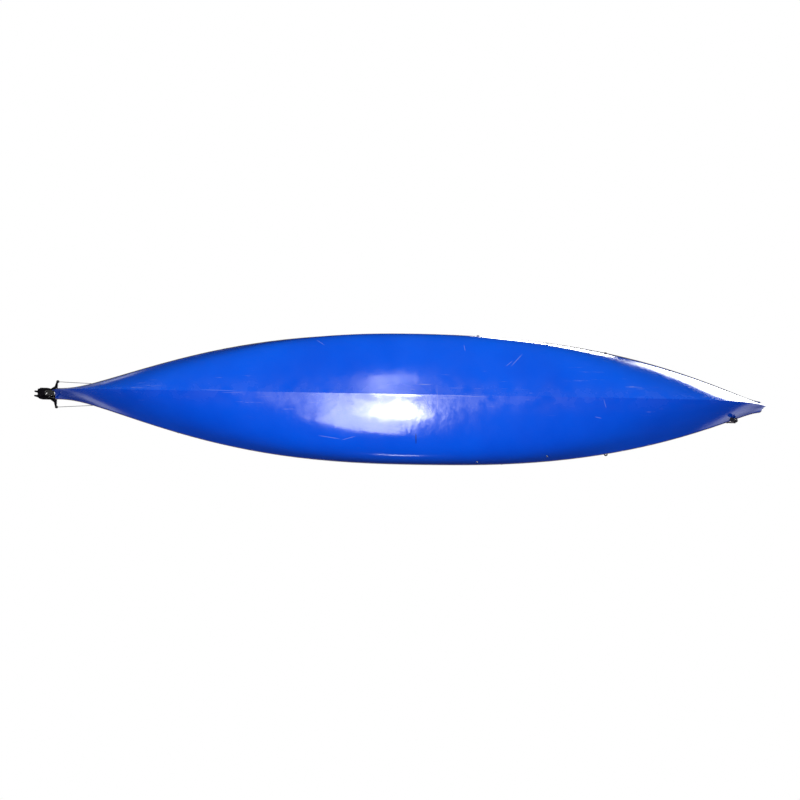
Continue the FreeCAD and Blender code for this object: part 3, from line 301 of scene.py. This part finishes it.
# ---- padded pieces ------------------------------------------------------
def body_of(node):
    return next(body for body, nodes in BODIES.items() if node in nodes)


def stand_in(piece, node):
    """Gives a piece the finish and the place of a CAD node."""
    piece.data.materials.clear()
    piece.data.materials.append(FINISHES[SLOTS[node]])
    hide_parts(node)


def new_object(name, mesh):
    piece = bpy.data.objects.new(name, mesh)
    bpy.context.scene.collection.objects.link(piece)
    for face in mesh.polygons:
        face.use_smooth = True
    return piece


def baked(piece):
    """Replaces a piece's mesh with what its modifiers make of it."""
    depsgraph = bpy.context.evaluated_depsgraph_get()
    mesh = bpy.data.meshes.new_from_object(piece.evaluated_get(depsgraph))
    piece.modifiers.clear()
    piece.data = mesh


PUMP = 4.0                   # cloth pressure that stuffs a pad
PUMP_STEPS = 20
WELD = 0.00002
SKIN = 0.001                 # a pad's cloth starts this far inside its solid
FLAT = 0.5                   # faces turned to the back by more than this stay flat


def inflate(piece, sewn, cap):
    """Swells a mesh as stuffed cloth; sewn points stay, and no point moves further than cap."""
    start = [v.co.copy() for v in piece.data.vertices]
    group = piece.vertex_groups.new(name="sewn")
    group.add(sewn, 1.0, "REPLACE")
    cloth = piece.modifiers.new("cloth", "CLOTH").settings
    cloth.use_pressure = True
    cloth.uniform_pressure_force = PUMP
    cloth.effector_weights.gravity = 0.0
    cloth.vertex_group_mass = "sewn"
    cloth.quality = 6
    for step in range(1, PUMP_STEPS + 1):
        bpy.context.scene.frame_set(step)
    baked(piece)
    for vertex, before in zip(piece.data.vertices, start):
        moved = vertex.co - before
        if moved.length > cap:
            vertex.co = before + moved * (cap / moved.length)
    bpy.context.scene.frame_set(1)


def pad_from(node, name, groove, back, voxel, cap):
    """A stuffed pad: groove(point) is how deep its stitched channel is, and back its flat side."""
    piece = new_object(name, NODES[node].data.copy())
    welded = bmesh.new()
    welded.from_mesh(piece.data)
    bmesh.ops.remove_doubles(welded, verts=welded.verts, dist=WELD)
    welded.to_mesh(piece.data)
    welded.free()
    remesh = piece.modifiers.new("remesh", "REMESH")
    remesh.mode = "VOXEL"
    remesh.voxel_size = voxel
    baked(piece)
    normals = [v.normal.copy() for v in piece.data.vertices]
    sewn = []
    for vertex, normal in zip(piece.data.vertices, normals):
        point = vertex.co.copy()
        flat = normal.dot(back(point))
        depth = 0.0 if flat > FLAT else groove(point)
        vertex.co = point - normal * (SKIN + depth)
        if flat > FLAT or depth > 0.0:
            sewn.append(vertex.index)
    inflate(piece, sewn, cap)
    for face in piece.data.polygons:
        face.use_smooth = True
    piece.modifiers.new("smooth", "SUBSURF").render_levels = 1
    stand_in(piece, node)
    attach(piece, body_of(node))
    return piece


CHANNEL_HALF, CHANNEL_DEPTH = 0.0028, 0.004


def channel(distance):
    """Depth of a stitched channel at a distance from its line."""
    return CHANNEL_DEPTH if abs(distance) < CHANNEL_HALF else 0.0


CUSHION_CHANNELS = (-0.044, 0.044)
BACK_AXIS_X = 0.048                 # the backrest curves round this line
BACK_CHANNELS = (0.198, 0.248)


def cushion_groove(point):
    return max(channel(point.y - y) for y in CUSHION_CHANNELS)


def backrest_groove(point):
    return max(channel(point.z - z) for z in BACK_CHANNELS)


def away_from_back_axis(point):
    return Vector((point.x - BACK_AXIS_X, point.y, 0)).normalized()


def make_pads():
    down, up = Vector((0, 0, -1)), Vector((0, 0, 1))
    pad_from("seat_cushion", "seat_cushion_soft", groove=cushion_groove, back=lambda p: down,
             voxel=0.005, cap=0.007)
    pad_from("backrest_pad", "backrest_pad_soft", groove=backrest_groove, back=away_from_back_axis,
             voxel=0.005, cap=0.006)
    for side in ("left", "right"):
        node = "thigh_pad_" + side
        pad_from(node, node + "_soft", groove=lambda p: 0.0, back=lambda p: up,
                 voxel=0.004, cap=0.003)


# ---- cables and straps --------------------------------------------------
YOKE_EYE = Vector((-1.8788, 0.0697, 0.3361))
FAIRLEAD = Vector((-1.6646, 0.05903, 0.31007))
CABLE_DIAMETER = 0.003
CABLE_STEPS, STRANDS = 90, 6
STRAND_TWIST = 0.35          # radians from one step to the next
BETWEEN_STRANDS = 0.86       # radius in the grooves, as a share


def swept(name, path, ring_at):
    """A closed mesh through rings of points, one ring for each point of a path."""
    rings = [ring_at(i, point) for i, point in enumerate(path)]
    count = len(rings[0])
    points = [p for ring in rings for p in ring]
    faces = []
    for i in range(len(rings) - 1):
        for k in range(count):
            a, b = i * count + k, i * count + (k + 1) % count
            faces.append((a, b, b + count, a + count))
    faces.append(tuple(range(count))[::-1])
    faces.append(tuple(range(len(points) - count, len(points))))
    mesh = bpy.data.meshes.new(name)
    mesh.from_pydata(points, [], faces)
    return new_object(name, mesh)


def steering_cable(side, sign):
    """Stranded steel cable, taut from the fairlead to the eye on the yoke."""
    start = Vector((FAIRLEAD.x, sign * FAIRLEAD.y, FAIRLEAD.z))
    end = Vector((YOKE_EYE.x, sign * YOKE_EYE.y, YOKE_EYE.z))
    path = [start.lerp(end, i / CABLE_STEPS) for i in range(CABLE_STEPS + 1)]
    heading = (end - start).normalized()
    over = heading.cross(Vector((0, 1, 0))).normalized()
    across = heading.cross(over)

    def ring_at(i, point):
        ring = []
        for k in range(2 * STRANDS):
            angle = math.pi * k / STRANDS + STRAND_TWIST * i
            radius = CABLE_DIAMETER / 2 * (1.0 if k % 2 == 0 else BETWEEN_STRANDS)
            ring.append(point + (over * math.cos(angle) + across * math.sin(angle)) * radius)
        return ring

    node = "steering_cable_" + side
    cable = swept(node + "_wire", path, ring_at)
    stand_in(cable, node)
    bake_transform(cable)


WEB_WIDTH, WEB_THICK = 0.024, 0.0012
BAR_TO_WEB = 0.0034          # from the eye's bar to the middle of the webbing
RUN_STEPS, LOOP_STEPS = 12, 14
LOOP_FROM, LOOP_TURN = -40, 260     # degrees
SEWN_SHORT = 0.010           # the two runs start to part this far from the bar
SLACK = 0.0014               # how far each run bows out
APART = 0.55                 # half the gap between the runs, in thicknesses
WEB_SECTION = ((-1, 0), (-0.94, 1), (0, 1.15), (0.94, 1), (1, 0), (0.94, -1), (0, -1.15), (-0.94, -1))


def webbing_strap(node, bar, grip, across):
    """Webbing that comes out of the grip, goes round the eye's bar and is sewn to itself."""
    bar, grip, across = Vector(bar), Vector(grip), Vector(across)
    up = (bar - grip).normalized()
    out = up.cross(across).normalized()
    length = (bar - grip).length

    def run(share, side):
        bow = SLACK * math.sin(math.pi * share)
        return grip + up * (share * (length - SEWN_SHORT)) + out * (bow + side * WEB_THICK * APART)

    def loop(share):
        angle = math.radians(LOOP_FROM + LOOP_TURN * share)
        return bar + (out * math.cos(angle) + up * math.sin(angle)) * BAR_TO_WEB

    path = [run(i / RUN_STEPS, 1) for i in range(RUN_STEPS + 1)]
    path += [loop(i / LOOP_STEPS) for i in range(LOOP_STEPS + 1)]
    path += [run(1 - i / RUN_STEPS, -1) for i in range(RUN_STEPS + 1)]

    def ring_at(i, point):
        before, after = path[max(i - 1, 0)], path[min(i + 1, len(path) - 1)]
        side = (after - before).normalized().cross(across)
        half, thick = WEB_WIDTH / 2, WEB_THICK / 2
        return [point + across * (u * half) + side * (v * thick) for u, v in WEB_SECTION]

    strap = swept(node + "_web", path, ring_at)
    strap.modifiers.new("smooth", "SUBSURF").render_levels = 1
    stand_in(strap, node)
    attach(strap, body_of(node))


def make_cables_and_straps():
    steering_cable("left", 1)
    steering_cable("right", -1)
    webbing_strap("bow_strap", bar=(1.835, 0.088, 0.374), grip=(1.835, 0.079, 0.305), across=(1, 0, 0))
    webbing_strap("stern_strap", bar=(-1.330, 0, 0.3218), grip=(-1.268, 0, 0.3250), across=(0, 1, 0))


make_pads()
make_cables_and_straps()


# ---- camera, light and floor --------------------------------------------
TARGET = Vector((0.0, 0.016, 0.15))
DISTANCE = 4.5
LENS = 38.3
ROLL = math.radians(5.5)       # the camera sees a little more of the port flank
TILT = math.radians(1.0)       # the bow hangs a little low in the picture


def make_camera():
    data = bpy.data.cameras.new("camera")
    data.sensor_width = 36.0
    data.lens = LENS
    camera = bpy.data.objects.new("camera", data)
    back = Vector((0, math.sin(ROLL), -math.cos(ROLL)))
    up = Vector((0, -math.cos(ROLL), -math.sin(ROLL)))
    right = up.cross(back)
    turn = Matrix((right, up, back)).transposed().to_4x4()
    camera.matrix_world = Matrix.Translation(TARGET + back * DISTANCE) @ turn @ Matrix.Rotation(TILT, 4, "Z")
    bpy.context.scene.collection.objects.link(camera)
    bpy.context.scene.camera = camera


def area_light(name, place, target, size, power, diffuse=True, bounces=8):
    data = bpy.data.lights.new(name, "AREA")
    data.shape = "RECTANGLE"
    data.size, data.size_y = size
    data.energy = power
    light = bpy.data.objects.new(name, data)
    light.location = place
    light.rotation_euler = (Vector(target) - Vector(place)).to_track_quat("-Z", "Y").to_euler()
    light.visible_diffuse = diffuse
    data.cycles.max_bounces = bounces
    bpy.context.scene.collection.objects.link(light)


def make_lights():
    """The lights that are seen in the gloss; the world gives the soft light.

    The two below with no bounces light the bottom but not the floor by way of it.
    """
    area_light("core", (-0.05, 0.47, -4.5), (0.0, 0.3, 0), (0.52, 0.42), 30, bounces=0)
    area_light("halo", (-0.42, 0.98, -4.5), (-0.28, 0.5, 0), (1.15, 1.40), 44, bounces=0)
    area_light("upper_glow", (-0.15, -1.25, -4.5), (0.0, -0.1, 0), (0.55, 0.40), 5, diffuse=False)
    area_light("streak", (-0.05, 3.2, 0.75), (-0.03, 0.30, 0.08), (0.45, 0.22), 2.5, diffuse=False)
    area_light("deck_window", (1.6, -1.8, 3.6), (0.2, 0, 0.35), (1.6, 0.8), 60)


ROOM_LIGHT = 0.01            # the dark room in the gloss
SECOND_HAND = 0.15           # share of the lower dome that a second bounce still sees


def make_world():
    """White to the camera, soft to matt surfaces and a dark room with a skylight to gloss."""
    world = bpy.data.worlds.new("studio")
    world.use_nodes = True
    world.cycles.sampling_method = "NONE"
    tree = world.node_tree

    def add(kind, inputs=(), **settings):
        node = tree.nodes.new(kind)
        for key, value in settings.items():
            setattr(node, key, value)
        for socket, value in dict(inputs).items():
            if isinstance(value, bpy.types.NodeSocket):
                tree.links.new(value, node.inputs[socket])
            else:
                node.inputs[socket].default_value = value
        return node

    def ramp(value, low, high, to_low=0.0, to_high=1.0):
        inputs = {"Value": value, "From Min": low, "From Max": high, "To Min": to_low, "To Max": to_high}
        return add("ShaderNodeMapRange", inputs, interpolation_type="SMOOTHSTEP").outputs["Result"]

    def both(a, b):
        return add("ShaderNodeMath", {0: a, 1: b}, operation="MULTIPLY").outputs["Value"]

    def either(a, b):
        return add("ShaderNodeMath", {0: a, 1: b}, operation="ADD").outputs["Value"]

    place = add("ShaderNodeTexCoord").outputs["Generated"]
    axes = add("ShaderNodeSeparateXYZ", {"Vector": place}).outputs
    lengthways = add("ShaderNodeMath", {0: axes["X"]}, operation="ABSOLUTE").outputs["Value"]

    # What gloss sees: windows high up over the bow and the stern, on both sides of a dark room.
    high = ramp(axes["Z"], 0.62, 0.68)
    edge = either(both(lengthways, 1.14), axes["Y"])
    bow_window = both(both(ramp(axes["X"], 0.335, 0.385), ramp(edge, -0.11, -0.05)), 6.5)
    stern_window = both(ramp(axes["X"], -0.40, -0.36, 1.0, 0.0), ramp(edge, 0.0, 0.06))
    starboard = ramp(axes["Y"], -0.06, 0.10, 1.0, 0.0)
    bow_port = both(both(ramp(axes["X"], 0.47, 0.53), ramp(axes["Y"], 0.20, 0.30)), 0.6)
    stern_port = both(both(ramp(axes["X"], -0.43, -0.39, 1.0, 0.0), ramp(axes["Y"], 0.28, 0.34)), 0.45)
    port = ramp(axes["Y"], 0.38, 0.46, 1.0, 0.0)
    windows = either(both(either(bow_window, stern_window), starboard),
                     both(either(bow_port, stern_port), port))
    gloss = either(both(high, windows), ROOM_LIGHT)

    # What matt surfaces see: a soft dome, dimmer to port and at the ends, violet low down to port.
    dim = both(ramp(axes["Y"], -0.3, 1.0, 0.82, 0.34), ramp(lengthways, 0.2, 1.0, 1.0, 0.5))
    slant = either(both(axes["X"], -0.35), axes["Y"])
    violet = both(ramp(slant, -0.7, 0.8), ramp(axes["Z"], -0.3, 0.2, 1.0, 0.0))
    tint = add("ShaderNodeMix", {"Factor": violet}, data_type="RGBA")
    tint.inputs["A"].default_value = rgba(0.95, 1.0, 1.0)
    tint.inputs["B"].default_value = rgba(0.90, 0.42, 1.0)
    # Light from under the floor that comes by way of the hull is kept off the floor.
    path = add("ShaderNodeLightPath").outputs
    bounced = both(ramp(path["Diffuse Depth"], 1.0, 2.0), ramp(axes["Z"], -0.05, 0.05, 1.0, 0.0))
    dim = both(dim, ramp(bounced, 0.0, 1.0, 1.0, SECOND_HAND))
    white = add("ShaderNodeBackground", {"Color": rgba(1, 1, 1)})
    soft = add("ShaderNodeBackground", {"Color": tint.outputs["Result"], "Strength": dim})
    room = add("ShaderNodeBackground", {"Color": rgba(0.95, 0.97, 1.0), "Strength": gloss})
    seen = add("ShaderNodeMixShader", {"Fac": path["Is Glossy Ray"], 1: soft.outputs[0], 2: room.outputs[0]})
    seen = add("ShaderNodeMixShader", {"Fac": path["Is Camera Ray"], 1: seen.outputs[0], 2: white.outputs[0]})
    tree.links.new(seen.outputs["Shader"], tree.nodes["World Output"].inputs["Surface"])
    bpy.context.scene.world = world


FLOOR_SIZE, FLOOR_GAP = 400, 0.001
FLOOR_GLOW_FROM, FLOOR_GLOW_TO = 2.0, 14.0      # the floor's painted white glow rises between these distances


def make_floor():
    """A plain pale floor under the keel, with a painted white glow further out. It is seen only from above,
    and takes shadows.
    """
    bpy.ops.mesh.primitive_plane_add(size=FLOOR_SIZE, location=(0, 0, CAD_BOX[0][2] - FLOOR_GAP))
    floor = bpy.context.object
    floor.name = "floor"
    s = Shader("floor_paint", Roughness=0.9, Specular_IOR_Level=0.1)
    s.drive("Base Color", s.mix(s.noise(1.5), rgba(0.80, 0.80, 0.81), rgba(0.83, 0.83, 0.84)))
    away = s.add("ShaderNodeVectorMath", {0: s.place}, operation="LENGTH").outputs["Value"]
    # Painted light: the floor emits white light further from the middle, so it glows into the white
    # background.
    s.drive("Emission Color", rgba(1.0, 1.0, 1.0))
    s.drive("Emission Strength", s.spread(away, FLOOR_GLOW_FROM, FLOOR_GLOW_TO, 0.0, 0.6))
    below = s.add("ShaderNodeNewGeometry").outputs["Backfacing"]
    s.drive("Alpha", s.math("SUBTRACT", 1.0, below))
    floor.data.materials.append(s.material)
    floor.visible_glossy = False
    floor.visible_diffuse = False
    floor.visible_shadow = False


make_camera()
make_lights()
make_world()
make_floor()
bpy.context.scene.view_settings.view_transform = "Standard"
